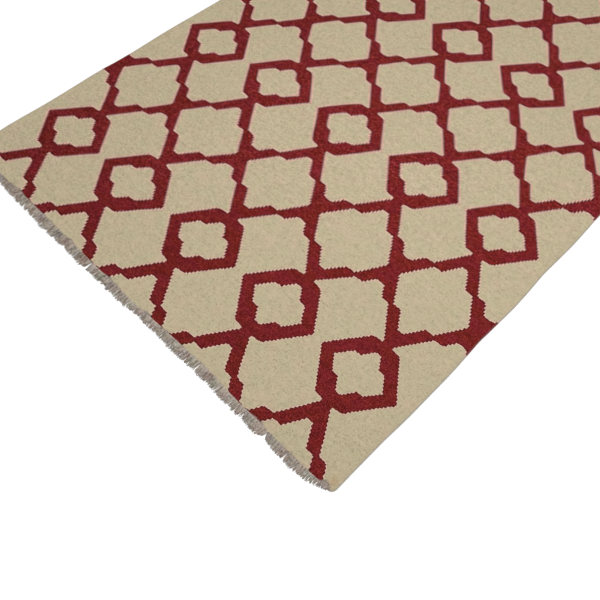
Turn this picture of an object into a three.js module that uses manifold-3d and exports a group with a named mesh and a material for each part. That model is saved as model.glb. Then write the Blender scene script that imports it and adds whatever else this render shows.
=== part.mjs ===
// A flat-woven wool rug laid out on the floor, with a short fringe of warp ends along both ends.
// Millimetres, +Z up. +Y runs along the rug, +X across it, and the origin is on the floor under
// the rug's middle. The near end, at -Y, is the one with the table of measured unevenness.
import * as THREE from 'three';
import { mergeVertices } from 'three/addons/utils/BufferGeometryUtils.js';
import Module from 'manifold-3d';

const clothWidth = 1524;
const clothLength = 2418;
const clothThickness = 3;
const cornerRadius = 16;
const cornerSteps = 5;
const selvedgeStep = 45;
const endStep = 30;

// How far each edge stands out past the straight rectangle, at places along it.
const rightSelvedge = [
  { along: -1209, out: -5 },
  { along: -1075, out: -4.5 },
  { along: -925, out: 1 },
  { along: -755, out: 2.5 },
  { along: -656, out: -2 },
  { along: -476, out: 4 },
  { along: -327, out: -1.5 },
  { along: -190, out: 2.5 },
  { along: -30, out: -1.5 },
  { along: 170, out: 2 },
  { along: 330, out: -1 },
  { along: 610, out: -2.5 },
  { along: 780, out: 2 },
  { along: 1010, out: 0.5 },
  { along: 1209, out: -4 },
];
const leftSelvedge = [
  { along: -1209, out: -4 },
  { along: -1060, out: 2 },
  { along: -925, out: -1.5 },
  { along: -700, out: 2.5 },
  { along: -610, out: -1.5 },
  { along: -380, out: 2 },
  { along: -250, out: -0.5 },
  { along: 0, out: -2 },
  { along: 220, out: 2 },
  { along: 610, out: -2 },
  { along: 860, out: 2.5 },
  { along: 1209, out: -4 },
];
const nearEnd = [
  { along: -762, out: -11 },
  { along: -510, out: -10 },
  { along: -330, out: -6 },
  { along: -120, out: 0 },
  { along: 0, out: 2 },
  { along: 150, out: 0 },
  { along: 300, out: -2 },
  { along: 430, out: 7 },
  { along: 600, out: 11 },
  { along: 700, out: 14 },
  { along: 762, out: 13 },
];
const farEnd = [
  { along: -762, out: 6 },
  { along: -480, out: 3 },
  { along: -200, out: -2 },
  { along: 90, out: 1 },
  { along: 340, out: -4 },
  { along: 600, out: -1 },
  { along: 762, out: -5 },
];

const fringeGap = 0.3;
const bandWidth = 5;
const bandThickness = 2;
const fringeInset = 24;
const strandsPerEnd = 149;
const strandLength = { short: 17, long: 29, atCorner: 6 };
const cornerStretch = 95;
const strandWidth = { root: 7.4, middle: 7, tip: 4.6 };
const strandHeight = { root: 1.3, middle: 2.4, tip: 1.5 };
const strandTopShare = 0.64;
const strandLean = { wide: 3.6, narrow: 1.6, single: 1, atMiddle: 0.35 };
const leanWave = { wide: 97, narrow: 38, shiftPerSeed: 50 };

const wasm = await Module();
wasm.setup();

// A fixed scatter from 0 to 1 for each whole number and each use of it.
function scatter(index, use) {
  const wave = Math.sin(index * 12.9898 + use * 78.233) * 43758.5453;
  return wave - Math.floor(wave);
}

// The height of an edge's unevenness, joined smoothly from row to row of its table.
function edgeOut(table, along) {
  const last = table.length - 1;
  if (along <= table[0].along) return table[0].out;
  if (along >= table[last].along) return table[last].out;
  const next = table.findIndex((row) => row.along > along);
  const from = table[next - 1];
  const to = table[next];
  const share = (along - from.along) / (to.along - from.along);
  return from.out + (to.out - from.out) * (1 - Math.cos(Math.PI * share)) / 2;
}

const halfWidth = clothWidth / 2;
const halfLength = clothLength / 2;

function rightX(y) {
  return halfWidth + edgeOut(rightSelvedge, y);
}

function leftX(y) {
  return -halfWidth - edgeOut(leftSelvedge, y);
}

function nearY(x) {
  return -halfLength - edgeOut(nearEnd, x);
}

function farY(x) {
  return halfLength + edgeOut(farEnd, x);
}

// Points from one number to another at even steps, both ends included.
function evenly(from, to, step) {
  const count = Math.ceil(Math.abs(to - from) / step);
  return Array.from({ length: count + 1 }, (_, i) => from + (to - from) * i / count);
}

// A corner's arc, between its two edges, without the points where it meets them.
function cornerArc(centre, startAngle) {
  const points = [];
  for (let i = 1; i < cornerSteps; i += 1) {
    const angle = startAngle + Math.PI / 2 * i / cornerSteps;
    points.push(new THREE.Vector2(
      centre.x + cornerRadius * Math.cos(angle),
      centre.y + cornerRadius * Math.sin(angle),
    ));
  }
  return points;
}

// Where the two edges of a corner would meet, moved in by the corner's radius.
function cornerCentre(sideX, endY, sideSign, endSign) {
  const y = endY(sideSign * halfWidth) - endSign * cornerRadius;
  return new THREE.Vector2(sideX(y) - sideSign * cornerRadius, y);
}

// Places across the rug that the cloth's ends and the fringes share, so that they run side by side.
const fringeReach = halfWidth - fringeInset;
const endStations = evenly(-fringeReach, fringeReach, endStep);

function clothOutline() {
  const nearRight = cornerCentre(rightX, nearY, 1, -1);
  const farRight = cornerCentre(rightX, farY, 1, 1);
  const farLeft = cornerCentre(leftX, farY, -1, 1);
  const nearLeft = cornerCentre(leftX, nearY, -1, -1);
  const near = [nearLeft.x, ...endStations, nearRight.x];
  const far = [farLeft.x, ...endStations, farRight.x].reverse();
  const right = evenly(nearRight.y, farRight.y, selvedgeStep);
  const left = evenly(farLeft.y, nearLeft.y, selvedgeStep);
  return [
    ...near.map((x) => new THREE.Vector2(x, nearY(x))),
    ...cornerArc(nearRight, -Math.PI / 2),
    ...right.map((y) => new THREE.Vector2(rightX(y), y)),
    ...cornerArc(farRight, 0),
    ...far.map((x) => new THREE.Vector2(x, farY(x))),
    ...cornerArc(farLeft, Math.PI / 2),
    ...left.map((y) => new THREE.Vector2(leftX(y), y)),
    ...cornerArc(nearLeft, Math.PI),
  ];
}

// A flat outline raised from the floor to a thickness, as a closed geometry with merged points.
function slab(points, thickness) {
  const flat = new THREE.ExtrudeGeometry(new THREE.Shape(points), {
    depth: thickness,
    bevelEnabled: false,
  });
  flat.deleteAttribute('normal');
  flat.deleteAttribute('uv');
  return mergeVertices(flat, 1e-3);
}

function toSolid(geometry) {
  return new wasm.Manifold(new wasm.Mesh({
    numProp: 3,
    vertProperties: new Float32Array(geometry.attributes.position.array),
    triVerts: new Uint32Array(geometry.index.array),
  }));
}

function toGeometry(solid) {
  const mesh = solid.getMesh();
  const geometry = new THREE.BufferGeometry();
  geometry.setAttribute('position', new THREE.BufferAttribute(mesh.vertProperties, 3));
  geometry.setIndex(new THREE.BufferAttribute(mesh.triVerts, 1));
  return geometry;
}

// One bundle of warp ends: a four-sided bar that lies on the floor and narrows to its cut tip.
// Each section is a place along the bundle, with the bar's middle, width and height there.
function strandGeometry(sections) {
  const corners = [];
  for (const { x, y, width, height } of sections) {
    const top = width * strandTopShare;
    corners.push(x - width / 2, y, 0, x + width / 2, y, 0);
    corners.push(x + top / 2, y, height, x - top / 2, y, height);
  }
  const faces = [0, 1, 2, 0, 2, 3];
  for (let i = 0; i < sections.length - 1; i += 1) {
    for (let side = 0; side < 4; side += 1) {
      const a = i * 4 + side;
      const b = i * 4 + (side + 1) % 4;
      faces.push(a, a + 4, b + 4, a, b + 4, b);
    }
  }
  const end = (sections.length - 1) * 4;
  faces.push(end, end + 2, end + 1, end, end + 3, end + 2);
  const geometry = new THREE.BufferGeometry();
  geometry.setAttribute('position', new THREE.Float32BufferAttribute(corners, 3));
  geometry.setIndex(faces);
  return geometry;
}

// How far a full bundle at a place leans sideways over its length. Neighbours lean alike.
function sharedLean(x, seed) {
  const place = x + seed * leanWave.shiftPerSeed;
  return strandLean.wide * Math.sin(place / leanWave.wide)
    + strandLean.narrow * Math.sin(place / leanWave.narrow);
}

// The strip of bundle roots that runs beside the cloth's edge, and its bundles, along one end.
// edgeY is the cloth's edge and outward is -1 at the near end and +1 at the far one.
function fringeGeometry(edgeY, outward, seed) {
  const rootY = (x) => edgeY(x) + outward * fringeGap;
  const inner = endStations.map((x) => new THREE.Vector2(x, rootY(x)));
  const outer = inner.map(({ x, y }) => new THREE.Vector2(x, y + outward * bandWidth)).reverse();
  const band = toSolid(slab([...inner, ...outer], bandThickness));

  const pitch = 2 * fringeReach / strandsPerEnd;
  const strands = [];
  for (let i = 0; i < strandsPerEnd; i += 1) {
    const x = -fringeReach + (i + 0.5) * pitch;
    const spread = strandLength.long - strandLength.short;
    const full = strandLength.short + spread * scatter(i, seed);
    const fromCorner = Math.min(1, (fringeReach - Math.abs(x)) / cornerStretch);
    const length = strandLength.atCorner + (full - strandLength.atCorner) * fromCorner;
    const lean = sharedLean(x, seed) * length / strandLength.long
      + strandLean.single * (scatter(i, seed + 1) - 0.5);
    const root = rootY(x) + outward * bandWidth / 2;
    const tip = rootY(x) + outward * (bandWidth + length);
    const middle = (root + tip) / 2;
    const middleX = x + lean * strandLean.atMiddle;
    const sections = [
      { x, y: root, width: strandWidth.root, height: strandHeight.root },
      { x: middleX, y: middle, width: strandWidth.middle, height: strandHeight.middle },
      { x: x + lean, y: tip, width: strandWidth.tip, height: strandHeight.tip },
    ];
    strands.push(toSolid(strandGeometry(outward > 0 ? sections : sections.reverse())));
  }
  return toGeometry(band.add(wasm.Manifold.union(strands)));
}

function pieceMesh(name, geometry, color, roughness) {
  const material = new THREE.MeshStandardMaterial({ color, roughness, metalness: 0 });
  const mesh = new THREE.Mesh(geometry, material);
  mesh.name = name;
  return mesh;
}

const rug = new THREE.Group();
rug.name = 'rug';
rug.add(pieceMesh('rug_cloth', slab(clothOutline(), clothThickness), 0xbbae91, 0.95));
rug.add(pieceMesh('fringe_near', fringeGeometry(nearY, -1, 1), 0xa0988f, 0.95));
rug.add(pieceMesh('fringe_far', fringeGeometry(farY, 1, 5), 0xa0988f, 0.95));

export default rug;
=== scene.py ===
import math

import bpy
import numpy as np
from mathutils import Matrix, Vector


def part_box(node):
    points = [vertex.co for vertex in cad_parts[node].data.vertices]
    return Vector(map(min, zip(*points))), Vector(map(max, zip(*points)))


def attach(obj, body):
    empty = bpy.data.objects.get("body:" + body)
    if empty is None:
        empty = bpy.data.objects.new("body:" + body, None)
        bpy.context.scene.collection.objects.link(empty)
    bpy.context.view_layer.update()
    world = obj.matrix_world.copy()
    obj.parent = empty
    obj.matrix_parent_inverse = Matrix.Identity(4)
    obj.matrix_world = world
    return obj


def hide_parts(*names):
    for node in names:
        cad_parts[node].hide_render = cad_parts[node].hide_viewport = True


# A flat-woven kilim rug, laid out on a pale floor, with a short cut fringe of warp ends at both ends.
# Metres, +Y along the rug, +X across it. A value whose name ends in Mm is in millimetres.

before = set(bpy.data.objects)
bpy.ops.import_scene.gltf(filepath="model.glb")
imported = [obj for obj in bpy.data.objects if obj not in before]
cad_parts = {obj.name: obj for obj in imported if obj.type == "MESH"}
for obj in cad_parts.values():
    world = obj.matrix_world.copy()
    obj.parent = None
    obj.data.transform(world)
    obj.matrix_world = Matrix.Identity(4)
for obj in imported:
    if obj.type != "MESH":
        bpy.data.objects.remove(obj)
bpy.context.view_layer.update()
mm = 0.001


# Node helpers, used by the materials and by the fringe's Geometry Nodes

nodeGrid = {"across": 190, "down": 260, "perRow": 12}  # how nodes are laid out in the editor


def addNode(tree, kind, inputs=None, **settings):
    node = tree.nodes.new(kind)
    gridRow, place = divmod(len(tree.nodes), nodeGrid["perRow"])
    node.location = (nodeGrid["across"] * place, -nodeGrid["down"] * gridRow)
    for name, value in settings.items():
        setattr(node, name, value)
    for name, value in (inputs or {}).items():
        if isinstance(value, bpy.types.NodeSocket):
            tree.links.new(value, node.inputs[name])
        else:
            node.inputs[name].default_value = value
    return node


def maths(tree, operation, *values, clamp=False):
    node = addNode(tree, "ShaderNodeMath", dict(enumerate(values)), operation=operation, use_clamp=clamp)
    return node.outputs[0]


def vector(tree, x=0.0, y=0.0, z=0.0):
    return addNode(tree, "ShaderNodeCombineXYZ", {"X": x, "Y": y, "Z": z}).outputs[0]


def remap(tree, value, low, high, toLow, toHigh):
    sockets = {"Value": value, "From Min": low, "From Max": high, "To Min": toLow, "To Max": toHigh}
    return addNode(tree, "ShaderNodeMapRange", sockets).outputs["Result"]


def mixColours(tree, share, first, second, blend="MIX"):
    # Of the node's many inputs, 0, 6 and 7 are the share and the two colours
    node = addNode(tree, "ShaderNodeMix", data_type="RGBA", blend_type=blend)
    for socket, value in ((0, share), (6, first), (7, second)):
        if isinstance(value, bpy.types.NodeSocket):
            tree.links.new(value, node.inputs[socket])
        else:
            node.inputs[socket].default_value = value
    return node.outputs[2]


def noise(tree, place, scale=1.0, detail=2.0):
    sockets = {"Vector": place, "Scale": scale, "Detail": detail}
    return addNode(tree, "ShaderNodeTexNoise", sockets).outputs["Fac"]


def colour(red, green, blue):
    # An sRGB colour, 0 to 255, as the linear one that a shader takes
    channels = [value / 255 for value in (red, green, blue)]
    linear = [c / 12.92 if c <= 0.04045 else ((c + 0.055) / 1.055) ** 2.4 for c in channels]
    return (*linear, 1.0)


def settingsOf(tree, look):
    # Two short ways to use a material's settings: as a colour, and as the range that a value runs over

    def dye(name):
        return colour(*look[name])

    def scaled(name, value):
        return remap(tree, value, *look[name])

    return dye, scaled


def newMaterial(name):
    material = bpy.data.materials.new(name)
    material.use_nodes = True
    material.node_tree.nodes.clear()
    return material, material.node_tree


def mattSurface(tree, base, look, height=None):
    # Ends a material. The bump's height is counted in look["bumpMm"].
    inputs = {"Base Color": base, "Roughness": look["roughness"], "Specular IOR Level": look["specular"]}
    if height is not None:
        relief = {"Height": height, "Distance": look["bumpMm"] * mm, "Strength": look["bumpStrength"]}
        inputs["Normal"] = addNode(tree, "ShaderNodeBump", relief).outputs[0]
    shader = addNode(tree, "ShaderNodeBsdfPrincipled", inputs)
    addNode(tree, "ShaderNodeOutputMaterial", {"Surface": shader.outputs[0]})


def addObject(name, data):
    piece = bpy.data.objects.new(name, data)
    bpy.context.scene.collection.objects.link(piece)
    return piece


# Camera: at eye height beside the rug's near right corner, looking down across the rug

view = {
    "place": (1.0347, -1.7167, 1.7325),
    "turn": (32.08, -2.13, 43.61),  # degrees
    "lens": 44.9,
    "sensor": 36.0,
    "shift": (-0.00083, 0.00083),
    "clip": (0.05, 50.0),
}


def makeCamera():
    lens = bpy.data.cameras.new("viewLens")
    lens.lens = view["lens"]
    lens.sensor_width = view["sensor"]
    lens.shift_x, lens.shift_y = view["shift"]
    lens.clip_start, lens.clip_end = view["clip"]
    camera = addObject("viewCamera", lens)
    camera.location = view["place"]
    camera.rotation_euler = [math.radians(angle) for angle in view["turn"]]
    bpy.context.scene.camera = camera


# The cloth's outline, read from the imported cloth: how its four edges run

clothOutline = {
    "cornerRadius": 16 * mm,
    "clearOfCorners": 30 * mm,  # an edge is read this far from its corners, and this deep
    "farOut": 10.0,  # past every corner, where an edge keeps its last value
}


def readOutline():
    points = np.array([v.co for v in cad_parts["rug_cloth"].data.vertices])
    top = points[:, 2].max()
    points = np.unique(points[points[:, 2] > top / 2].round(6)[:, :2], axis=0)
    low, high = points.min(0), points.max(0)
    clear = clothOutline["clearOfCorners"]
    edges = {}
    for name, axis, side in (("left", 0, low), ("right", 0, high), ("near", 1, low), ("far", 1, high)):
        along = 1 - axis
        inside = (points[:, along] > low[along] + clear) & (points[:, along] < high[along] - clear)
        chosen = points[inside & (abs(points[:, axis] - side[axis]) < clear)]
        chosen = chosen[chosen[:, along].argsort()]
        edges[name] = (chosen[:, along], chosen[:, axis])
    return edges, float(top)


outline, clothThickness = readOutline()


def edgeAt(name, along):
    places, values = outline[name]
    return np.interp(along, places, values)


def insetAt(x, y):
    # How far in from the nearer end a place on the cloth lies
    return np.minimum(y - edgeAt("near", x), edgeAt("far", x) - y)


# The cloth: a grid of warps and wefts, with a rib over each warp, bowed as the hand-made one is

clothSheet = {
    "warpsPerRepeat": 96,
    "warpPitchMm": 3.1,
    "repeatSizeMm": (298, 627),  # across and along, rounded, for how far apart two places are
    "firstWarp": -52,  # warps are counted from the first column of rings
    "lastWarp": 440,
    "ringColumnsMm": (  # where the columns of rings, and the places midway, lie across the rug
        (-0.545, -763.5), (-0.435, -727), (0, -600), (0.5, -457), (0.75, -387), (1, -312),
        (1.5, -155.5), (2, -5), (2.5, 144.5), (3, 299.5), (3.5, 447.5), (4, 591), (4.25, 662.5),
        (4.5, 737), (5, 882),
    ),
    "ringRowsMm": (  # and where the rows of rings lie along it
        (-0.5, -1245), (0, -936.5), (0.5, -627.5), (1, -306), (1.5, 0.5),
        (2, 313), (2.5, 627), (3, 941), (3.5, 1255),
    ),
    "bowColumns": (0, 1.2, 2.2, 3.2, 4.5),
    "bowRowsMm": (  # how far each row is shifted along the rug, at each of those columns
        (-0.375, (5, -7, -13, -18, -26)),
        (-0.125, (7, -1, 1, -4, -4)),
        (0.0, (2, -6, 0, -4, -8)),
        (0.125, (-2, -6, 5, 4, -9)),
        (0.375, (-8, -3, 1, -4, -9)),
        (0.625, (-17, -12, -2, 3, 0)),
        (0.875, (-19, -10, -3, 1, 5)),
        (1.125, (-19, -9, 2, 6, 1)),
        (1.375, (-20, -13, -7, -1, -1)),
        (1.5, (-20, -14, -9, 1, 3)),
        (1.625, (-21, -16, -11, 2, 6)),
        (1.75, (-22, -18, -13, -4, 4)),
        (2.0, (-22, -19, -18, -31, -28)),
        (2.5, (-14, -13, -14, -20, -20)),
        (3.35, (0, 0, 0, 0, 0)),
    ),
    "leanRowsMm": (  # the right-hand warps lean there
        (1.0, 0), (1.3, -5), (1.5, -3), (1.7, -9), (2.0, -11), (2.8, 0),
    ),
    "leanColumns": (3.4, 3.9),
    "slipsMm": (  # places where the weave has slipped: column, row, how far across and how far along
        (0, -0.25, 0, 4), (0.6, 0, -2, -2), (0.6, 0.4, -3, 4), (1.4, 0.5, 1, -5),
        (1.75, 0.2, -5, 0), (1.75, 0.6, 2, -2), (1.75, 1.05, 2, 9), (2.1, 0.9, -2, -3),
        (2.1, 1.25, 3, 0), (2.65, 1.36, -4, 0), (2.75, 0.45, -5, 0), (3.2, 0.1, -3, 4),
        (3.25, -0.37, -8, 2), (3.25, 0.4, 4, 0), (3.75, -0.3, 3, -1), (3.75, 0.65, 4, 2),
        (3.85, 0.12, 4, -1), (3.8, 1.62, 5, 5), (3.9, 1.82, 4, -5), (4.3, 1.6, 0, 5),
    ),
    "slipReachMm": 75,
    "slipsGrow": 20,  # how steeply, from nothing at the near end, for each repeat along
    "nearRow": -0.4149,  # the cloth's ends, in repeats from the first row of rings
    "farRow": 3.4149,
    "rowSteps": 48,
    "denseRowsMm": (0.5, 1.3, 3, 6, 10, 15, 21),  # closer together near each end
    "sideFadeMm": 120,  # how far in the warps still follow the sides' unevenness
    "ribReliefMm": 0.8,
    "selvedgeWarps": 3,
    "selvedgeExtraMm": 0.4,
    "edgeRoundMm": 1.6,
    "edgeLeast": 0.35,  # of the thickness, at the very edge
    "cocklesMm": (  # height, length across, length along, phase
        (0.9, 760, 1150, 0.4), (0.6, 430, -620, 2.1), (0.4, -290, 380, 4.0), (0.3, 210, 240, 5.2),
    ),
    "flatEndsMm": 90,
}


def clothRows():
    dense = np.array([0, *clothSheet["denseRowsMm"]]) / clothSheet["repeatSizeMm"][1]
    near, far = clothSheet["nearRow"], clothSheet["farRow"]
    middle = np.linspace(near + dense[-1], far - dense[-1], clothSheet["rowSteps"] + 1)[1:-1]
    return np.concatenate([near + dense, middle, (far - dense)[::-1]])


def tableRows():
    # The cloth's two ends, then the rows of the bow table, as places along the rug at each bow column
    places = clothSheet["bowColumns"]
    rings, at = np.array(clothSheet["ringRowsMm"]).T
    across = columnX(np.array(places, float))
    rows = [(clothSheet["nearRow"], edgeAt("near", across))]
    for row, bow in clothSheet["bowRowsMm"]:
        rows.append((row, (np.interp(row, rings, at) + np.array(bow)) * mm))
    rows.append((clothSheet["farRow"], edgeAt("far", across)))
    return rows


def columnX(columns):
    known, at = np.array(clothSheet["ringColumnsMm"]).T
    return np.interp(columns, known, at) * mm


def clothPlaces(warps, rows):
    # Where each crossing of a warp and a row lies on the floor
    columns = warps / clothSheet["warpsPerRepeat"]
    x = np.tile(columnX(columns), (len(rows), 1))
    lean = np.interp(rows, *np.array(clothSheet["leanRowsMm"]).T) * mm
    x = x + lean[:, None] * np.interp(columns, clothSheet["leanColumns"], (0, 1))
    table = tableRows()
    keys = [row for row, _ in table]
    curves = np.array([np.interp(columns, clothSheet["bowColumns"], values) for _, values in table])
    curves[0], curves[-1] = edgeAt("near", x[0]), edgeAt("far", x[-1])
    y = np.array([[np.interp(row, keys, curves[:, c]) for c in range(len(columns))] for row in rows])
    repeatAcross, repeatAlong = clothSheet["repeatSizeMm"]
    grown = np.clip((rows - rows[0]) * clothSheet["slipsGrow"], 0, 1)[:, None]
    for column, row, across, along in clothSheet["slipsMm"]:
        distance = np.hypot((columns - column) * repeatAcross, ((rows - row) * repeatAlong)[:, None])
        share = np.exp(-(distance / clothSheet["slipReachMm"]) ** 2) * grown
        x, y = x + across * mm * share, y + along * mm * share
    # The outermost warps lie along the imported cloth's sides
    fade = clothSheet["sideFadeMm"] * mm
    for name, edge in (("left", 0), ("right", -1)):
        target = edgeAt(name, y[:, edge])
        share = np.clip(1 - abs(x - x[:, [edge]]) / fade, 0, 1) ** 2
        x = x + share * (target - x[:, edge])[:, None]
    return roundCorners(x, y)


def roundCorners(x, y):
    # The grid's four corners, drawn in onto an arc
    radius = clothOutline["cornerRadius"]
    x, y = x.copy(), y.copy()
    for side, sideSign in (("left", -1), ("right", 1)):
        for end, endSign in (("near", -1), ("far", 1)):
            centreY = float(edgeAt(end, sideSign * clothOutline["farOut"])) - endSign * radius
            centreX = float(edgeAt(side, centreY)) - sideSign * radius
            a = (x - centreX) * sideSign / radius
            b = (y - centreY) * endSign / radius
            corner = (a > 0) & (b > 0)
            pull = np.maximum(a, b)[corner] / np.hypot(a, b)[corner]
            x[corner] = centreX + sideSign * radius * a[corner] * pull
            y[corner] = centreY + endSign * radius * b[corner] * pull
    return x, y


def cockle(x, y):
    # The cloth's lift off the floor, in metres, which dies away at its ends
    lift = np.zeros_like(x)
    for height, across, along, phase in clothSheet["cocklesMm"]:
        wave = np.sin(2 * math.pi * (x / (across * mm) + y / (along * mm)) + phase)
        lift += height * mm * (0.5 + 0.5 * wave)
    return lift * np.clip(insetAt(x, y) / (clothSheet["flatEndsMm"] * mm), 0, 1) ** 2


def clothSides(warps, rows):
    # Places of the upper and lower face's points, for the same warps and rows
    x, y = clothPlaces(warps, rows)
    crest = (np.arange(len(warps)) % 2).astype(float)
    fromSide = np.minimum(warps - warps[0], warps[-1] - warps)
    relief = clothSheet["ribReliefMm"] * mm / 2
    half = clothThickness / 2 - relief + 2 * relief * crest
    atSelvedge = fromSide < clothSheet["selvedgeWarps"]
    half = half + clothSheet["selvedgeExtraMm"] * mm / 2 * crest * atSelvedge
    toSide = fromSide * clothSheet["warpPitchMm"] * mm + 0 * y
    inward = np.clip(np.minimum(insetAt(x, y), toSide) / (clothSheet["edgeRoundMm"] * mm), 0, 1)
    least = clothSheet["edgeLeast"]
    rounding = least + (1 - least) * np.sqrt(1 - (1 - inward) ** 2)
    middle = clothThickness / 2 + cockle(x, y)
    return x, y, middle + half * rounding, np.maximum(middle - half * rounding, 0)


def makeCloth():
    first, last = clothSheet["firstWarp"], clothSheet["lastWarp"]
    warps = np.arange(2 * first, 2 * last + 1) / 2  # furrows on the whole numbers, crests between
    rows = clothRows()
    x, y, top, bottom = clothSides(warps, rows)
    upper = np.stack([x, y, top], -1)
    lower = np.stack([x, y, bottom], -1)[::2]
    # t and b number the points of the two faces, which share no points, and the sides join them
    count = len(warps)
    t = np.arange(upper.shape[0] * count).reshape(-1, count)
    b = t.size + np.arange(lower.shape[0] * count).reshape(-1, count)
    faces = np.stack([t[:-1, :-1], t[:-1, 1:], t[1:, 1:], t[1:, :-1]], -1).reshape(-1, 4).tolist()
    faces += np.stack([b[:-1, :-1], b[1:, :-1], b[1:, 1:], b[:-1, 1:]], -1).reshape(-1, 4).tolist()
    faces += np.stack([b[0, :-1], b[0, 1:], t[0, 1:], t[0, :-1]], -1).tolist()
    faces += np.stack([b[-1, 1:], b[-1, :-1], t[-1, :-1], t[-1, 1:]], -1).tolist()
    for r in range(lower.shape[0] - 1):
        s = 2 * r
        faces.append([b[r, -1], b[r + 1, -1], t[s + 2, -1], t[s + 1, -1], t[s, -1]])
        faces.append([b[r + 1, 0], b[r, 0], t[s, 0], t[s + 1, 0], t[s + 2, 0]])
    mesh = bpy.data.meshes.new("clothMesh")
    mesh.from_pydata(np.concatenate([upper.reshape(-1, 3), lower.reshape(-1, 3)]), [], faces)
    mesh.polygons.foreach_set("use_smooth", [True] * len(mesh.polygons))
    # Each point keeps its own threads: its warp, its row, and how far in from the cloth's end it lies
    warpGrid, rowGrid = np.meshgrid(warps, rows)
    threads = np.stack([warpGrid, rowGrid, insetAt(x, y) / mm], -1)
    threads = np.concatenate([threads.reshape(-1, 3), threads[::2].reshape(-1, 3)])
    attribute = mesh.attributes.new("threads", "FLOAT_VECTOR", "POINT")
    attribute.data.foreach_set("vector", threads.astype(np.float32).ravel())
    mesh.update()
    return addObject("rugCloth", mesh)


# The trellis, charted on a quarter of one repeat: across in warps from a column of rings, along in
# millimetres from a row of rings. Red lies between the ring's two lines and between the leg's two.

trellisChart = {
    "repeatMm": 626.7,
    "quarterWarps": 48,
    "tallestMm": 330.0,
    "ringInside": ((0, 80), (3.1, 78), (9.9, 49), (10.6, 44), (17.7, 43), (27.9, 0)),
    "ringOutside": ((0, 130), (6, 130), (6.1, 117), (16.2, 113), (16.8, 110), (43, 0)),
    "legInside": (
        (0, 118), (6, 118), (6.1, 124), (26.7, 217), (27.1, 220), (36, 222.5), (42.8, 255.5), (48, 259),
    ),
    "legOutside": (
        (0, 174), (3.1, 175), (14.4, 227.5), (14.8, 229.5), (23.5, 229.5), (24.2, 234.5), (40, 310.5),
        (40.1, 330),
    ),
    "lastRingWarp": 433,  # the next ring to the right isn't begun
    "unevenMm": 2.4,
    "tilt": (-0.3, 1.0),  # how far each step's tread tilts back, by the near right corner and beyond
    "tiltFrom": (0.12, 0.36),  # from and to where it grows, and where it goes again
    "tiltGoes": (0.6, 0.9),
}


def chartLine(tree, warpsFromRing, points):
    # How far along one of the chart's lines lies, in millimetres, so many warps from a ring
    curve = addNode(tree, "ShaderNodeFloatCurve")
    line = curve.mapping.curves[0]
    scaled = [(x / trellisChart["quarterWarps"], y / trellisChart["tallestMm"]) for x, y in points]
    if scaled[-1][0] < 1:
        scaled.append((1.0, scaled[-1][1]))
    line.points[0].location = scaled[0]
    line.points[1].location = scaled[-1]
    for place in scaled[1:-1]:
        line.points.new(*place)
    for point in line.points:
        point.handle_type = "VECTOR"
    curve.mapping.update()
    share = maths(tree, "DIVIDE", warpsFromRing, trellisChart["quarterWarps"])
    tree.links.new(share, curve.inputs["Value"])
    return maths(tree, "MULTIPLY", curve.outputs[0], trellisChart["tallestMm"])


def makeTrellis():
    # A node group that is 1 where the weft is red. It steps sideways by two warps at a time.
    tree = bpy.data.node_groups.new("trellis", "ShaderNodeTree")
    for name in ("Warp", "Row", "Tilt"):
        tree.interface.new_socket(name, in_out="INPUT", socket_type="NodeSocketFloat")
    tree.interface.new_socket("Red", in_out="OUTPUT", socket_type="NodeSocketFloat")
    warp, row, tilt = addNode(tree, "NodeGroupInput").outputs[:3]
    pair = maths(tree, "FLOOR", maths(tree, "DIVIDE", warp, 2))
    pairWarp = maths(tree, "MULTIPLY_ADD", pair, 2, 1)
    tilted = maths(tree, "MULTIPLY_ADD", maths(tree, "SUBTRACT", pairWarp, warp), tilt, pairWarp)
    warpsFromRing = maths(tree, "PINGPONG", tilted, trellisChart["quarterWarps"])
    alongMm = maths(tree, "MULTIPLY", maths(tree, "PINGPONG", row, 0.5), trellisChart["repeatMm"])
    quarter = maths(tree, "FLOOR", maths(tree, "MULTIPLY", row, 2))
    scatter = addNode(tree, "ShaderNodeTexWhiteNoise", {"Vector": vector(tree, pair, quarter, 3)})
    uneven = maths(tree, "SUBTRACT", scatter.outputs["Value"], 0.5)
    uneven = maths(tree, "MULTIPLY", uneven, trellisChart["unevenMm"])
    alongMm = maths(tree, "ABSOLUTE", maths(tree, "ADD", alongMm, uneven))
    bands = []
    for inside, outside in (("ringInside", "ringOutside"), ("legInside", "legOutside")):
        past = maths(tree, "GREATER_THAN", alongMm, chartLine(tree, warpsFromRing, trellisChart[inside]))
        short = maths(tree, "LESS_THAN", alongMm, chartLine(tree, warpsFromRing, trellisChart[outside]))
        bands.append(maths(tree, "MULTIPLY", past, short))
    begun = maths(tree, "LESS_THAN", warp, trellisChart["lastRingWarp"])
    bands[0] = maths(tree, "MULTIPLY", bands[0], begun)
    addNode(tree, "NodeGroupOutput", {"Red": maths(tree, "MAXIMUM", *bands)})
    return tree


# The wool: hand-spun weft packed over the warps, cream and madder red. A setting of four numbers is the
# range that a value is scaled by: from the first number to the second, it gives the third to the fourth.

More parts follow.
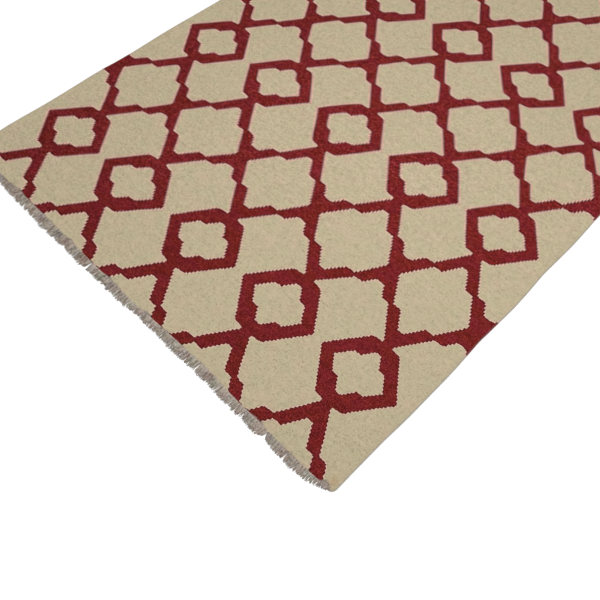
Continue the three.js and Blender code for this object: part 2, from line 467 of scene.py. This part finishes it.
wool = {
    "cream": (181, 168, 139),
    "creamGreen": (175, 168, 136),
    "creamPink": (185, 165, 141),
    "creamEven": 0.5,  # how much of the cream is the plain one
    "hueShare": (0.35, 0.65, 0, 1),
    "speck": (124, 109, 83),
    "speckShare": (0.64, 0.78, 0, 0.5),
    "red": (103, 24, 21),
    "redBrown": (98, 25, 16),
    "redPurple": (105, 23, 34),
    "redEven": 0.4,
    "batchShare": (0.4, 0.6, 0, 1),
    "redPink": (140, 54, 53),
    "pinkShare": (0.48, 0.75, 0, 0.8),
    "redDark": (80, 11, 11),
    "darkShare": (0.48, 0.25, 0, 0.8),
    "redPaintedLight": (0.87, 1.09),  # painted light: the red is made lighter towards the right and away from the near end
    "paintedLightRows": (-0.4, 0.7, 0, 0.5),
    "paintedLightWarps": (-50, 240, 0, 0.5),
    "mottling": {  # how fine each pattern is, to the millimetre, and its detail
        "grain": (0.45, 2), "softGrain": (0.26, 0), "speck": (0.33, 0), "cloud": (0.055, 2),
        "hue": (0.02, 2), "streak": (0.16, 2), "batch": (0.022, 2), "bareEnd": (0.21, 2),
        "bareLobe": (0.017, 1),
    },
    "drawnOut": 2,  # how much longer the grain is along the weft than across it
    "streaksDrawnOut": 16,
    "softContrast": (0.62, 1.5),  # of the soft grain, in the open and beside the pattern's edges
    "grainLight": (0.3, 0.7, -0.16, 0.14),
    "cloudLight": (0.3, 0.7, -0.04, 0.04),
    "streakLight": (0.3, 0.7, -0.03, 0.03),
    "redShades": (1.3, 4.0),  # how much more the red's lightness varies, in the grain and in the rest
    "pinkRim": (234, 172, 165),
    # painted shade of the slits, along the red's edges
    "redSlitShade": (42, 10, 8),
    "endRim": (205, 180, 172),
    "awayShares": (0.35, 0.65),  # what the way from right to left counts, and from near to far
    "rimMm": (2.3, 4.4),  # how wide the rims along the red are, at the near right corner and the far left: painted slit shade on the red's side, a pale outline on the cream's
    "rimAlong": 1.15,  # and how much farther along the rug
    "rimShares": (0.38, 0.62),  # how strong they are, on the cream and on the red
    "rimFarther": 1.9,  # and how much stronger away from the near right corner
    "rimByEnd": (2, 14, 0.3, 1),  # on the cream they are weaker close to the cloth's end
    "endRimShare": 0.7,
    "bareWarp": (152, 139, 134),
    # painted shade in the gaps between the bare warps
    "bareGapShade": (96, 82, 74),
    "gapShadeShare": (0.4, 0.56, 0.8, 0),
    "bareEndMm": 3.5,  # how far in from the end the warps show, and how that varies
    "bareOnRedMm": -4.0,
    "bareCornerMm": 11.0,
    "bareUneven": (0.3, 0.7, -2, 2),
    "bareLobes": (0.32, 0.68, -5.0, 5.0),
    "bareCorner": ((4, 9, 0, 1), (10, 16, 1, 0)),  # in warps from the side: where it begins and ends
    "bareCornerGrain": (0.3, 0.6, 1.2, 0.5),
    "bareShare": (-1.5, 1.5, 0, 0.85),
    "plainEndMm": 1.6,
    "plainCorner": {"warps": 14, "endMm": 26},  # no red is woven in the corners
    "stain": {"place": (1344, -238), "reachMm": 17, "tint": (172, 138, 102), "share": 0.6},
    # the selvedge cords' grey: partly their own warp, partly painted shade of the cloth's side
    "selvedgeGreyAndShade": (158, 153, 146),
    "selvedgeShare": (0.9, 1.5, 0.6, 0),
    "selvedgeOnRed": 0.2,
    "weftPitchMm": 1.1,
    "grainRelief": 0.8,
    "bumpMm": 0.35,
    "bumpStrength": 0.6,
    "roughness": 0.95,
    "specular": 0.1,
}

middleWarp = (clothSheet["firstWarp"] + clothSheet["lastWarp"]) / 2
halfWarps = (clothSheet["lastWarp"] - clothSheet["firstWarp"]) / 2


def scaleColour(tree, base, light):
    grey = addNode(tree, "ShaderNodeCombineColor", {0: light, 1: light, 2: light}).outputs[0]
    return mixColours(tree, 1.0, base, grey, "MULTIPLY")


def makeWool():
    material, tree = newMaterial("kilimWool")
    threads = addNode(tree, "ShaderNodeAttribute", attribute_name="threads")
    warp, row, inset = addNode(tree, "ShaderNodeSeparateXYZ", {0: threads.outputs["Vector"]}).outputs
    trellis = makeTrellis()
    dye, scaled = settingsOf(tree, wool)

    def mottled(name, place):
        return noise(tree, place, *wool["mottling"][name])

    # 0 at the near right corner, 1 at the far left one
    shareAcross, shareAlong = wool["awayShares"]
    fromRight = remap(tree, warp, clothSheet["lastWarp"], clothSheet["firstWarp"], 0, shareAcross)
    fromNear = remap(tree, row, clothSheet["nearRow"], clothSheet["farRow"], 0, shareAlong)
    away = maths(tree, "ADD", fromRight, fromNear)
    tilt = remap(tree, away, *trellisChart["tiltFrom"], *trellisChart["tilt"])
    flatter = remap(tree, away, *trellisChart["tiltGoes"], trellisChart["tilt"][1], 0)
    tilt = maths(tree, "MINIMUM", tilt, flatter)
    reach = remap(tree, away, 0, 1, *wool["rimMm"])

    def redAt(right, ahead):
        # 1 where the weft is red, as many rims' widths to the right and farther along
        warpsOver = right / clothSheet["warpPitchMm"]
        rowsOver = ahead / trellisChart["repeatMm"]
        place = {
            "Warp": maths(tree, "MULTIPLY_ADD", reach, warpsOver, warp),
            "Row": maths(tree, "MULTIPLY_ADD", reach, rowsOver, row),
            "Tilt": tilt,
        }
        return addNode(tree, "ShaderNodeGroup", place, node_tree=trellis).outputs[0]

    # Red weft stops just short of the cloth's end
    fromMiddle = maths(tree, "ABSOLUTE", maths(tree, "SUBTRACT", warp, middleWarp))
    fromSide = maths(tree, "SUBTRACT", halfWarps, fromMiddle)
    corner = maths(tree, "LESS_THAN", fromSide, wool["plainCorner"]["warps"])
    plain = remap(tree, corner, 0, 1, wool["plainEndMm"], wool["plainCorner"]["endMm"])
    woven = maths(tree, "GREATER_THAN", inset, plain)
    red = maths(tree, "MULTIPLY", redAt(0, 0), woven)

    # Rims along the red, from how many of the four places around are red: painted slit shade on the red,
    # a pale outline on the cream
    sides = maths(tree, "ADD", redAt(-1, 0), redAt(1, 0))
    nearer, farther = redAt(0, -wool["rimAlong"]), redAt(0, wool["rimAlong"])
    around = maths(tree, "ADD", sides, maths(tree, "ADD", nearer, farther))
    creamAround = maths(tree, "SUBTRACT", 4, around)
    creamBesideRed = maths(tree, "MULTIPLY", around, maths(tree, "SUBTRACT", woven, red))
    stronger = remap(tree, away, *trellisChart["tiltFrom"], 1, wool["rimFarther"])
    onCream = maths(tree, "MULTIPLY", stronger, wool["rimShares"][0])
    onCream = maths(tree, "MULTIPLY", onCream, scaled("rimByEnd", inset))
    creamRim = maths(tree, "MULTIPLY", creamBesideRed, onCream, clamp=True)
    # Painted shade of the slits, darkening the red along its edges
    onRed = maths(tree, "MULTIPLY", stronger, wool["rimShares"][1])
    redSlitShade = maths(tree, "MULTIPLY", maths(tree, "MULTIPLY", creamAround, onRed, clamp=True), red)
    bothWays = maths(tree, "MINIMUM", nearer, farther)
    cutEnd = maths(tree, "SUBTRACT", bothWays, woven, clamp=True)  # just past the red's cut end

    # Places in millimetres over the cloth, and the same drawn out along the weft
    across = maths(tree, "MULTIPLY", warp, clothSheet["warpPitchMm"])
    along = maths(tree, "MULTIPLY", row, trellisChart["repeatMm"])
    clothMm = vector(tree, across, along, 0)

    def drawn(times, layer):
        # Each layer of a noise is a pattern of its own
        return vector(tree, maths(tree, "DIVIDE", across, times), along, layer)

    # The grain grows softer away from the near right corner
    drawnMm = drawn(wool["drawnOut"], 5)
    grain = mottled("grain", drawnMm)
    besideEdge = maths(tree, "MINIMUM", around, creamAround)
    contrast = remap(tree, besideEdge, 0, 1, *wool["softContrast"])
    softer = maths(tree, "SUBTRACT", mottled("softGrain", drawnMm), 0.5)
    softer = maths(tree, "MULTIPLY_ADD", softer, contrast, 0.5)
    soften = remap(tree, away, *trellisChart["tiltFrom"], 0, 1)
    grain = maths(tree, "MULTIPLY_ADD", maths(tree, "SUBTRACT", softer, grain), soften, grain)

    hue = scaled("hueShare", mottled("hue", clothMm))
    cream = mixColours(tree, hue, dye("creamGreen"), dye("creamPink"))
    cream = mixColours(tree, wool["creamEven"], cream, dye("cream"))
    specks = scaled("speckShare", mottled("speck", drawnMm))
    cream = mixColours(tree, specks, cream, dye("speck"))
    cream = mixColours(tree, creamRim, cream, dye("pinkRim"))
    batch = scaled("batchShare", mottled("batch", drawn(wool["drawnOut"], 2)))
    madder = mixColours(tree, batch, dye("redBrown"), dye("redPurple"))
    madder = mixColours(tree, wool["redEven"], madder, dye("red"))
    madder = mixColours(tree, scaled("pinkShare", grain), madder, dye("redPink"))
    madder = mixColours(tree, scaled("darkShare", grain), madder, dye("redDark"))
    # Painted light: the red is darker at the left and near end, and lighter to the right and farther
    # along
    paintedLightOnRed = maths(tree, "ADD", scaled("paintedLightRows", row), scaled("paintedLightWarps", warp))
    madder = scaleColour(tree, madder, remap(tree, paintedLightOnRed, 0, 1, *wool["redPaintedLight"]))
    madder = mixColours(tree, redSlitShade, madder, dye("redSlitShade"))
    base = mixColours(tree, red, cream, madder)
    cloud = scaled("cloudLight", mottled("cloud", clothMm))
    streak = scaled("streakLight", mottled("streak", drawn(wool["streaksDrawnOut"], 9)))
    fineRed, broadRed = [remap(tree, red, 0, 1, 1, more) for more in wool["redShades"]]
    fine = maths(tree, "MULTIPLY", scaled("grainLight", grain), fineRed)
    broad = maths(tree, "MULTIPLY", maths(tree, "ADD", cloud, streak), broadRed)
    light = maths(tree, "ADD", fine, broad)
    base = scaleColour(tree, base, maths(tree, "ADD", light, 1))

    # Bare warps show at the cloth's ends, most of all beside the corners, with painted shade in the gaps
    # between them
    uneven = scaled("bareUneven", mottled("bareEnd", vector(tree, across, 0, 4)))
    lobes = scaled("bareLobes", mottled("bareLobe", vector(tree, across, 0, 8)))
    bareTo = maths(tree, "ADD", maths(tree, "ADD", uneven, wool["bareEndMm"]), lobes)
    begins, ends = [remap(tree, fromSide, *numbers) for numbers in wool["bareCorner"]]
    inCorner = maths(tree, "MULTIPLY", begins, ends)
    inCorner = maths(tree, "MULTIPLY", inCorner, scaled("bareCornerGrain", grain))
    bareTo = maths(tree, "MULTIPLY_ADD", inCorner, wool["bareCornerMm"], bareTo)
    bareTo = maths(tree, "MULTIPLY_ADD", red, wool["bareOnRedMm"], bareTo)
    bare = scaled("bareShare", maths(tree, "SUBTRACT", bareTo, inset))
    bareColour = mixColours(tree, scaled("gapShadeShare", grain), dye("bareWarp"), dye("bareGapShade"))
    base = mixColours(tree, bare, base, bareColour)
    cornerShare = maths(tree, "MULTIPLY", corner, wool["endRimShare"])
    endRim = maths(tree, "MULTIPLY", cutEnd, maths(tree, "SUBTRACT", wool["endRimShare"], cornerShare))
    base = mixColours(tree, endRim, base, dye("endRim"))

    # A small stain near the right corner, and the selvedges' cords made greyer: partly their own grey
    # warp, partly painted shade of the cloth's side edge
    stain = wool["stain"]
    spot = {0: clothMm, 1: vector(tree, *stain["place"], 0)}
    spread = addNode(tree, "ShaderNodeVectorMath", spot, operation="DISTANCE").outputs["Value"]
    stained = remap(tree, spread, 0, stain["reachMm"], stain["share"], 0)
    stained = maths(tree, "MULTIPLY", stained, maths(tree, "SUBTRACT", 1, red))
    base = mixColours(tree, stained, base, colour(*stain["tint"]))
    cordGreyAndShade = scaled("selvedgeShare", fromSide)
    cordGreyAndShade = maths(tree, "MULTIPLY", cordGreyAndShade, remap(tree, red, 0, 1, 1, wool["selvedgeOnRed"]))
    base = mixColours(tree, cordGreyAndShade, base, dye("selvedgeGreyAndShade"))

    # Weft floats: short swellings along each rib, half a pitch apart on neighbouring warps
    weft = maths(tree, "MULTIPLY", row, trellisChart["repeatMm"] / wool["weftPitchMm"])
    odd = maths(tree, "MULTIPLY", maths(tree, "PINGPONG", maths(tree, "FLOOR", warp), 1), 0.5)
    phase = maths(tree, "MULTIPLY", maths(tree, "ADD", weft, odd), math.pi)
    swelling = maths(tree, "ABSOLUTE", maths(tree, "SINE", phase))
    mattSurface(tree, base, wool, maths(tree, "MULTIPLY_ADD", grain, wool["grainRelief"], swelling))
    return material


# The fringe: bundles of twisted warp ends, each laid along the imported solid's own bundle

fringeBundles = {
    "threadsPerBundle": 12,
    "pointsPerThread": 9,
    "threadRadiusMm": 0.8,
    "sides": 5,
    "rootWidthMm": 9.6,
    "tipWidthMm": 12.0,
    "pinch": 0.09,
    "fullness": ((450, 0.97), (580, 1.16)),  # the bundles are fuller towards the right corner
    "widthVaries": (0.9, 1.2),
    "thicknessVaries": (0.8, 1.2),
    "depthVaries": (0.8, 1.2),
    "taper": (0.75, 1.0, 1.0, 0.6),  # a thread is thinner towards its tip
    "swayMm": 2.0,
    "swayAtRoot": 0.3,
    "rootPileMm": 2.1,
    "tipPileMm": 0.9,
    "pileStep": 0.618,  # how much of the pile lies between one thread and the next
    "wobbleMm": 2.2,
    "wobbleSteps": (7.31, 1.9),  # how unlike neighbouring threads are, and how sharply each one bends
    "wobbleGrows": 4.0,
    "straggleMm": 7.0,
    "shortest": 0.74,
    "hiddenRootMm": 2.5,
    "sectionTopsMm": {"middle": 2.4, "tip": 1.5},
    "sameTopMm": 0.02,
    "stripMm": 6.0,
    "evenTips": 0.5,  # how much alike neighbouring bundles are in length
    "neighbours": 5,  # this many, itself included
    "partingsMm": ((-167, 17), (283, 16), (540, 40)),  # where the bundles part, and by how much
    "partingReachMm": 13,
    "partingMiddle": {"share": 0.6, "mostMm": 4},  # how much of it the bundles' middles take
    "longerMm": {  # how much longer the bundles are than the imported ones, at places along each end
        "near": (
            (-700, -2), (-550, -6), (-500, 0), (-450, 0), (-390, 3), (-290, 2), (-240, -2), (-205, 3),
            (-170, -1), (-110, -4), (-60, -3), (-20, 1), (10, -1), (30, -8), (50, -8), (80, -4),
            (110, -4.5), (150, -2), (190, -1), (250, 2), (310, 1), (350, -3), (370, 0), (400, -4),
            (440, -1), (470, -5), (500, -1), (565, -4), (600, 2), (620, 3), (680, 4), (700, 1),
            (725, -5), (740, -8),
        ),
        "far": ((-700, 0), (700, 0), (740, -7)),
    },
    "ends": {
        "near": {"piece": "nearFringe", "node": "fringe_near", "outward": -1, "seed": 3},
        "far": {"piece": "farFringe", "node": "fringe_far", "outward": 1, "seed": 8},
    },
}

fringeWool = {
    "dark": (80, 67, 55),
    "light": (204, 193, 180),
    "lightShare": (0.25, 1.4, 0, 1),
    # painted shade of the lowest threads
    "low": (82, 71, 60),
    "lowShadeShare": (0.6, 2.0, 0.7, 0.0),  # millimetres off the floor; painted shade, darkest on the threads nearest the floor
    "brown": (150, 120, 110),
    "green": (136, 136, 118),
    "greenShare": (0.4, 0.6, 0, 1),
    "lilac": (142, 131, 136),
    "lilacShare": (0.5, 0.65, 0, 0.8),
    "tintShare": 0.38,
    "tintSize": 24.0,  # patches to the metre
    "fineSize": 700.0,  # of the hairiness, to the metre
    "singleLight": 0.55,
    "fineLight": 0.3,
    "mottle": (420.0, 140.0),  # across the threads and along them, to the metre
    "mottleLight": (0.3, 0.7, -0.1, 0.85),
    "patches": (115.0, 45.0),  # and of the broader patches at the roots
    "patchLight": (0.35, 0.65, -0.4, 0.4),
    "patchesEnd": (0.3, 0.55, 1, 0),  # metres across the rug
    "patchesAlong": (0.2, 0.9, 1, 0.3),  # from root to tip
    "palerRoots": 0.5,  # right of the middle
    "palerFrom": (-0.5, 0.2, 0, 1),  # metres across the rug
    "palerTo": (0.48, 0.62, 1, 0.3),
    "palerAlong": (0.05, 0.6, 1, 0),
    # how strong the painted shade between the bundles is, from root to tip
    "bundleShadeAlong": (0.1, 0.8, 0.7, 0.3),
    "bumpMm": 0.3,
    "bumpStrength": 0.6,
    "roughness": 0.9,
    "specular": 0.15,
}


def bundleGuides(edge):
    # Root, middle and tip of each bundle. Its two sections are told apart by how high they stand.
    node, outward = fringeBundles["ends"][edge]["node"], fringeBundles["ends"][edge]["outward"]
    points = np.array([v.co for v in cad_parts[node].data.vertices])
    found = []
    for name, top in fringeBundles["sectionTopsMm"].items():
        level = points[abs(points[:, 2] - top * mm) < fringeBundles["sameTopMm"] * mm]
        outside = outward * (level[:, 1] - edgeAt(edge, level[:, 0])) > fringeBundles["stripMm"] * mm
        section = np.unique(level[outside | (name == "middle")].round(6), axis=0)
        section = section[section[:, 0].argsort()]
        found.append(section.reshape(-1, 2, 3).mean(1))
    middle, tip = found
    low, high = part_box(node)
    pitch = (high.x - low.x) / len(tip)
    root = np.zeros_like(tip)
    root[:, 0] = low.x + (np.arange(len(tip)) + 0.5) * pitch
    root[:, 1] = edgeAt(edge, root[:, 0]) - outward * fringeBundles["hiddenRootMm"] * mm
    neighbours = fringeBundles["neighbours"]
    padded = np.pad(tip[:, 1], neighbours // 2, mode="edge")
    alike = np.convolve(padded, np.ones(neighbours) / neighbours, mode="valid")
    tip[:, 1] += fringeBundles["evenTips"] * (alike - tip[:, 1])
    longer = np.interp(tip[:, 0] / mm, *np.array(fringeBundles["longerMm"][edge]).T) * mm
    tip[:, 1] += outward * longer
    middle[:, 1] += outward * longer / 2
    reach = fringeBundles["partingReachMm"] * mm
    most = fringeBundles["partingMiddle"]["mostMm"] * mm
    for place, width in fringeBundles["partingsMm"]:
        away = root[:, 0] - place * mm
        aside = np.sign(away) * width / 2 * mm * np.exp(-abs(away) / reach)
        middle[:, 0] += np.clip(aside * fringeBundles["partingMiddle"]["share"], -most, most)
        tip[:, 0] += aside
    guides = np.stack([root, middle, tip], 1)
    guides[:, :, 2] = 0
    return guides


def guideMesh(name, guides):
    count = len(guides)
    edges = [(3 * i + step, 3 * i + step + 1) for i in range(count) for step in (0, 1)]
    mesh = bpy.data.meshes.new(name)
    mesh.from_pydata(guides.reshape(-1, 3), edges, [])
    bundle = mesh.attributes.new("bundle", "INT", "POINT")
    bundle.data.foreach_set("value", np.repeat(np.arange(count), 3))
    full = np.interp(guides[:, 0, 0] / mm, *np.array(fringeBundles["fullness"]).T)
    fullness = mesh.attributes.new("fullness", "FLOAT", "POINT")
    fullness.data.foreach_set("value", np.repeat(full, 3))
    return mesh


def fringeTree():
    # Makes each guide a bundle of threads, and gives the tree's inputs by name
    tree = bpy.data.node_groups.new("cutFringe", "GeometryNodeTree")
    sockets = {}
    for name, kind, default in (
        ("Guides", "Geometry", None),
        ("Threads per bundle", "Int", fringeBundles["threadsPerBundle"]),
        ("Points per thread", "Int", fringeBundles["pointsPerThread"]),
        ("Sides", "Int", fringeBundles["sides"]),
        ("Thread radius", "Float", fringeBundles["threadRadiusMm"] * mm),
        ("Root width", "Float", fringeBundles["rootWidthMm"] * mm),
        ("Tip width", "Float", fringeBundles["tipWidthMm"] * mm),
        ("Pinch", "Float", fringeBundles["pinch"]),
        ("Sway", "Float", fringeBundles["swayMm"] * mm),
        ("Root pile", "Float", fringeBundles["rootPileMm"] * mm),
        ("Tip pile", "Float", fringeBundles["tipPileMm"] * mm),
        ("Wobble", "Float", fringeBundles["wobbleMm"] * mm),
        ("Straggle", "Float", fringeBundles["straggleMm"] * mm),
        ("Shortest", "Float", fringeBundles["shortest"]),
        ("Seed", "Int", 1),
        ("Material", "Material", None),
    ):
        socket = tree.interface.new_socket(name, in_out="INPUT", socket_type="NodeSocket" + kind)
        if default is not None:
            socket.default_value = default
        sockets[name] = socket.identifier
    tree.interface.new_socket("Fringe", in_out="OUTPUT", socket_type="NodeSocketGeometry")
    given = addNode(tree, "NodeGroupInput").outputs

    def randomValue(low, high, number, shift):
        # The shift gives each use its own numbers
        seed = maths(tree, "ADD", given["Seed"], shift)
        node = addNode(tree, "FunctionNodeRandomValue", {"ID": number, "Seed": seed}, data_type="FLOAT")
        node.inputs[2].default_value = low
        node.inputs[3].default_value = high
        return node.outputs[1]

    def named(name, kind="INT"):
        return addNode(tree, "GeometryNodeInputNamedAttribute", {"Name": name}, data_type=kind).outputs[0]

    def keep(geometry, name, value, kind, domain):
        inputs = {"Geometry": geometry, "Name": name, "Value": value}
        node = addNode(tree, "GeometryNodeStoreNamedAttribute", inputs, data_type=kind, domain=domain)
        return node.outputs[0]

    def blend(first, second, share):
        return maths(tree, "MULTIPLY_ADD", maths(tree, "SUBTRACT", second, first), share, first)

    curves = addNode(tree, "GeometryNodeMeshToCurve", {"Mesh": given["Guides"]}).outputs[0]
    curves = addNode(tree, "GeometryNodeCurveSplineType", {"Curve": curves}, spline_type="CATMULL_ROM")
    copies = {"Geometry": curves.outputs[0], "Amount": given["Threads per bundle"]}
    copies = addNode(tree, "GeometryNodeDuplicateElements", copies, domain="SPLINE").outputs
    numbered = keep(copies["Geometry"], "thread", copies["Duplicate Index"], "INT", "CURVE")
    bundle, thread = named("bundle"), named("thread")
    number = maths(tree, "MULTIPLY_ADD", bundle, given["Threads per bundle"], thread)

    reach = blend(given["Shortest"], 1.0, randomValue(0.0, 1.0, number, 11))
    cut = addNode(tree, "GeometryNodeTrimCurve", {"Curve": numbered, "End": reach}, mode="FACTOR")
    resampled = {"Curve": cut.outputs[0], "Count": given["Points per thread"]}
    resampled = addNode(tree, "GeometryNodeResampleCurve", resampled)
    along = addNode(tree, "GeometryNodeSplineParameter").outputs["Factor"]

    # Threads lie side by side across their bundle, which draws in below its root and frays at its tip
    share = maths(tree, "DIVIDE", maths(tree, "ADD", thread, 0.5), given["Threads per bundle"])
    width = blend(given["Root width"], given["Tip width"], along)
    arch = maths(tree, "SINE", maths(tree, "MULTIPLY", along, math.pi))
    waist = maths(tree, "MULTIPLY", arch, given["Pinch"])
    width = maths(tree, "MULTIPLY", width, maths(tree, "SUBTRACT", 1.0, waist))
    width = maths(tree, "MULTIPLY", width, randomValue(*fringeBundles["widthVaries"], bundle, 9))
    width = maths(tree, "MULTIPLY", width, named("fullness", "FLOAT"))
    sideways = maths(tree, "MULTIPLY", maths(tree, "SUBTRACT", share, 0.5), width)
    sway = maths(tree, "MULTIPLY", given["Sway"], maths(tree, "ADD", along, fringeBundles["swayAtRoot"]))
    sideways = maths(tree, "MULTIPLY_ADD", randomValue(-0.5, 0.5, bundle, 10), sway, sideways)
    straggle = maths(tree, "MULTIPLY", given["Straggle"], along)
    sideways = maths(tree, "MULTIPLY_ADD", randomValue(-0.5, 0.5, number, 12), straggle, sideways)
    unlike, bends = fringeBundles["wobbleSteps"]
    unlike, bends = maths(tree, "MULTIPLY", number, unlike), maths(tree, "MULTIPLY", along, bends)
    wobble = noise(tree, vector(tree, unlike, bends, given["Seed"]), detail=1.0)
    grows = maths(tree, "MULTIPLY", along, fringeBundles["wobbleGrows"])
    wobble = maths(tree, "MULTIPLY", maths(tree, "SUBTRACT", wobble, 0.5), grows)
    sideways = maths(tree, "MULTIPLY_ADD", wobble, given["Wobble"], sideways)

    # and over each other, the lowest on the floor
    thick = randomValue(*fringeBundles["thicknessVaries"], number, 13)
    thick = maths(tree, "MULTIPLY", given["Thread radius"], thick)
    thick = maths(tree, "MULTIPLY", thick, remap(tree, along, *fringeBundles["taper"]))
    order = randomValue(0.0, 1.0, bundle, 14)
    order = maths(tree, "MULTIPLY_ADD", thread, fringeBundles["pileStep"], order)
    pile = blend(given["Root pile"], given["Tip pile"], along)
    height = maths(tree, "MULTIPLY_ADD", maths(tree, "FRACT", order), pile, thick)
    shifted = {"Geometry": resampled.outputs[0], "Offset": vector(tree, sideways, 0, height)}
    shifted = addNode(tree, "GeometryNodeSetPosition", shifted)

    # Each thread keeps its own tone, its place along the bundle, and how far inside the bundle it lies
    fromMiddle = maths(tree, "ABSOLUTE", maths(tree, "SUBTRACT", share, 0.5))
    depth = randomValue(*fringeBundles["depthVaries"], bundle, 16)
    inside = maths(tree, "SUBTRACT", depth, maths(tree, "MULTIPLY", fromMiddle, 2))
    tone = vector(tree, randomValue(0.0, 1.0, number, 15), along, inside)
    toned = keep(shifted.outputs[0], "tone", tone, "FLOAT_VECTOR", "POINT")
    section = {"Resolution": given["Sides"], "Radius": 1.0}
    section = addNode(tree, "GeometryNodeCurvePrimitiveCircle", section, mode="RADIUS")
    swept = {"Curve": toned, "Profile Curve": section.outputs[0], "Scale": thick, "Fill Caps": True}
    swept = addNode(tree, "GeometryNodeCurveToMesh", swept)
    smooth = addNode(tree, "GeometryNodeSetShadeSmooth", {"Geometry": swept.outputs[0]})
    real = addNode(tree, "GeometryNodeRealizeInstances", {"Geometry": smooth.outputs[0]})
    dressed = {"Geometry": real.outputs[0], "Material": given["Material"]}
    dressed = addNode(tree, "GeometryNodeSetMaterial", dressed)
    addNode(tree, "NodeGroupOutput", {"Fringe": dressed.outputs[0]})
    return tree, sockets


def makeFringe(edge, tree, sockets, material):
    name, seed = fringeBundles["ends"][edge]["piece"], fringeBundles["ends"][edge]["seed"]
    source = addObject(name + "Guides", guideMesh(name + "GuideMesh", bundleGuides(edge)))
    modifier = source.modifiers.new("cutFringe", "NODES")
    modifier.node_group = tree
    modifier[sockets["Seed"]] = seed
    modifier[sockets["Material"]] = material
    graph = bpy.context.evaluated_depsgraph_get()
    mesh = bpy.data.meshes.new_from_object(source.evaluated_get(graph))
    bpy.data.objects.remove(source)
    return addObject(name, mesh)


def makeFringeWool():
    material, tree = newMaterial("fringeWool")
    tone = addNode(tree, "ShaderNodeAttribute", attribute_name="tone")
    single, along, inside = addNode(tree, "ShaderNodeSeparateXYZ", {0: tone.outputs["Vector"]}).outputs
    place = addNode(tree, "ShaderNodeTexCoord").outputs["Object"]
    x, y, z = addNode(tree, "ShaderNodeSeparateXYZ", {0: place}).outputs
    dye, scaled = settingsOf(tree, fringeWool)

    def mottled(name, layer):
        across, lengthwise = fringeWool[name]
        across, lengthwise = maths(tree, "MULTIPLY", x, across), maths(tree, "MULTIPLY", y, lengthwise)
        return noise(tree, vector(tree, across, lengthwise, layer), detail=1)

    # How light a thread is: each has its own tone, mottled, and painted shade makes each bundle's middle
    # lighter and its sides darker
    fine = noise(tree, place, fringeWool["fineSize"])
    shade = maths(tree, "MULTIPLY", fine, fringeWool["fineLight"])
    shade = maths(tree, "MULTIPLY_ADD", single, fringeWool["singleLight"], shade)
    shade = maths(tree, "ADD", shade, scaled("mottleLight", mottled("mottle", 3)))
    patches = scaled("patchLight", mottled("patches", 8))
    patches = maths(tree, "MULTIPLY", patches, scaled("patchesEnd", x))
    shade = maths(tree, "MULTIPLY_ADD", patches, scaled("patchesAlong", along), shade)
    paler = maths(tree, "MULTIPLY", scaled("palerFrom", x), scaled("palerTo", x))
    paler = maths(tree, "MULTIPLY", paler, scaled("palerAlong", along))
    shade = maths(tree, "MULTIPLY_ADD", paler, fringeWool["palerRoots"], shade)
    # Painted shade: lighter in each bundle's middle, darker at its sides, between the bundles
    rounded = maths(tree, "SUBTRACT", inside, 0.5)
    rounded = maths(tree, "MULTIPLY", rounded, scaled("bundleShadeAlong", along))
    shade = maths(tree, "ADD", shade, rounded)
    base = mixColours(tree, scaled("lightShare", shade), dye("dark"), dye("light"))

    patch = maths(tree, "MULTIPLY", x, fringeWool["tintSize"])
    greener = scaled("greenShare", noise(tree, vector(tree, patch, 0, 1), detail=1))
    bluer = scaled("lilacShare", noise(tree, vector(tree, patch, 0, 6), detail=1))
    tint = mixColours(tree, greener, dye("brown"), dye("green"))
    tint = mixColours(tree, bluer, tint, dye("lilac"))
    base = mixColours(tree, fringeWool["tintShare"], base, tint)
    # Painted shade: the lower a thread lies, the darker it is
    low = scaled("lowShadeShare", maths(tree, "DIVIDE", z, mm))
    base = mixColours(tree, low, base, dye("low"))
    mattSurface(tree, base, fringeWool, fine)
    return material


# Floor and light

studio = {
    "floorReach": 14.0,
    "floorTone": (252, 252, 252),
    "roughness": 0.9,
    "specular": 0.1,
    "skyStrength": 0.9,
    "lampPlace": (0.38, -0.42, 1.9),
    "lampTarget": (0.12, -0.13, 0.0),
    "lampSize": 1.2,
    "lampPower": 17.5,
}


def makeStudio():
    reach = studio["floorReach"]
    mesh = bpy.data.meshes.new("floorMesh")
    corners = [(-reach, -reach, 0), (reach, -reach, 0), (reach, reach, 0), (-reach, reach, 0)]
    mesh.from_pydata(corners, [], [(0, 1, 2, 3)])
    floor = addObject("floor", mesh)
    material, tree = newMaterial("paleFloor")
    mattSurface(tree, colour(*studio["floorTone"]), studio)
    mesh.materials.append(material)

    world = bpy.data.worlds.new("softRoom")
    world.use_nodes = True
    sky = world.node_tree.nodes["Background"]
    sky.inputs["Color"].default_value = (1, 1, 1, 1)
    sky.inputs["Strength"].default_value = studio["skyStrength"]
    bpy.context.scene.world = world

    lamp = bpy.data.lights.new("softLamp", "AREA")
    lamp.shape = "SQUARE"
    lamp.size = studio["lampSize"]
    lamp.energy = studio["lampPower"]
    holder = addObject("softLamp", lamp)
    holder.location = studio["lampPlace"]
    holder.visible_camera = False
    towards = np.array(studio["lampTarget"]) - np.array(studio["lampPlace"])
    flat = math.hypot(towards[0], towards[1])
    holder.rotation_euler = (math.atan2(flat, -towards[2]), 0, math.atan2(-towards[0], towards[1]))

    bpy.context.scene.view_settings.view_transform = "Standard"
    bpy.context.scene.view_settings.look = "None"


makeCamera()
makeStudio()
print("camera, floor and light are set")

cloth = makeCloth()
cloth.data.materials.append(makeWool())
print("cloth woven:", len(cloth.data.vertices), "points,", len(cloth.data.polygons), "faces")

warpEnds = makeFringeWool()
nodes, sockets = fringeTree()
nearFringe = makeFringe("near", nodes, sockets, warpEnds)
farFringe = makeFringe("far", nodes, sockets, warpEnds)
print("fringes cut:", len(nearFringe.data.polygons), "and", len(farFringe.data.polygons), "faces")

for piece, node, slotName in (
    (cloth, "rug_cloth", "woven_wool"),
    (nearFringe, "fringe_near", "warp_ends"),
    (farFringe, "fringe_far", "warp_ends"),
):
    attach(piece, "root")
    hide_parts(node)
